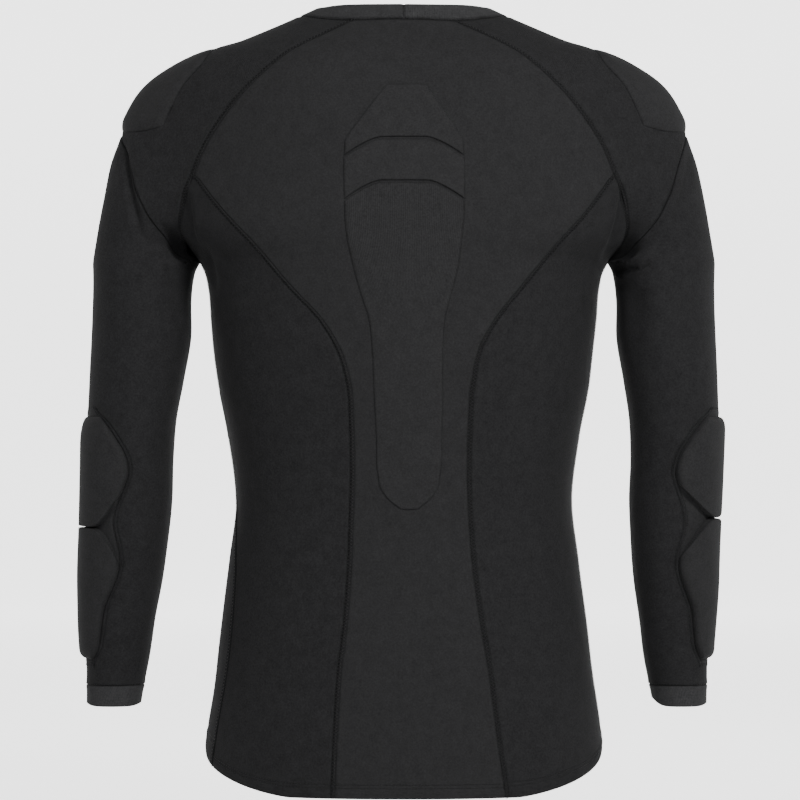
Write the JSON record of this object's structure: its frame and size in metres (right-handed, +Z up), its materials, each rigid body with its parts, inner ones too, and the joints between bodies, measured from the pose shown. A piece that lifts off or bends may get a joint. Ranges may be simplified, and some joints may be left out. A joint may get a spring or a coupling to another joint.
{
  "type": "padded compression shirt",
  "caption": "Close-fitting long-sleeve raglan shirt in its worn, hollow shape, with foam pads along the spine, over the shoulders and on the elbows and forearms.",
  "frame": {"origin": "the wearer's middle line at the height of the back neck seam", "axes": "+Z up, from hem to neck; the shirt's back faces -Y and its front +Y; the wearer's right arm is at +X"},
  "size_m": [0.5847, 0.2548, 0.6973],
  "materials": {
    "black_knit": "matt fine stretch knit",
    "smooth_knit": "smoother stretch knit of the back panel, arm panels, collar and cuffs",
    "pad_knit": "knit over foam pads, with a slight sheen"
  },
  "bodies": {
    "root": {"collar": "smooth_knit", "back_centre": "smooth_knit", "front": "black_knit", "side_back_left": "black_knit", "side_back_right": "black_knit", "shoulder_left": "black_knit", "shoulder_right": "black_knit", "sleeve_left": "black_knit", "sleeve_right": "black_knit", "elbow_panel_left": "smooth_knit", "elbow_panel_right": "smooth_knit", "cuff_left": "smooth_knit", "cuff_right": "smooth_knit", "spine_pad_top": "pad_knit", "spine_pad_middle": "pad_knit", "spine_pad_lower": "pad_knit", "shoulder_pad_left": "pad_knit", "shoulder_pad_right": "pad_knit", "elbow_pad_left": "pad_knit", "elbow_pad_right": "pad_knit", "forearm_pad_left": "pad_knit", "forearm_pad_right": "pad_knit"}
  },
  "joints": []
}
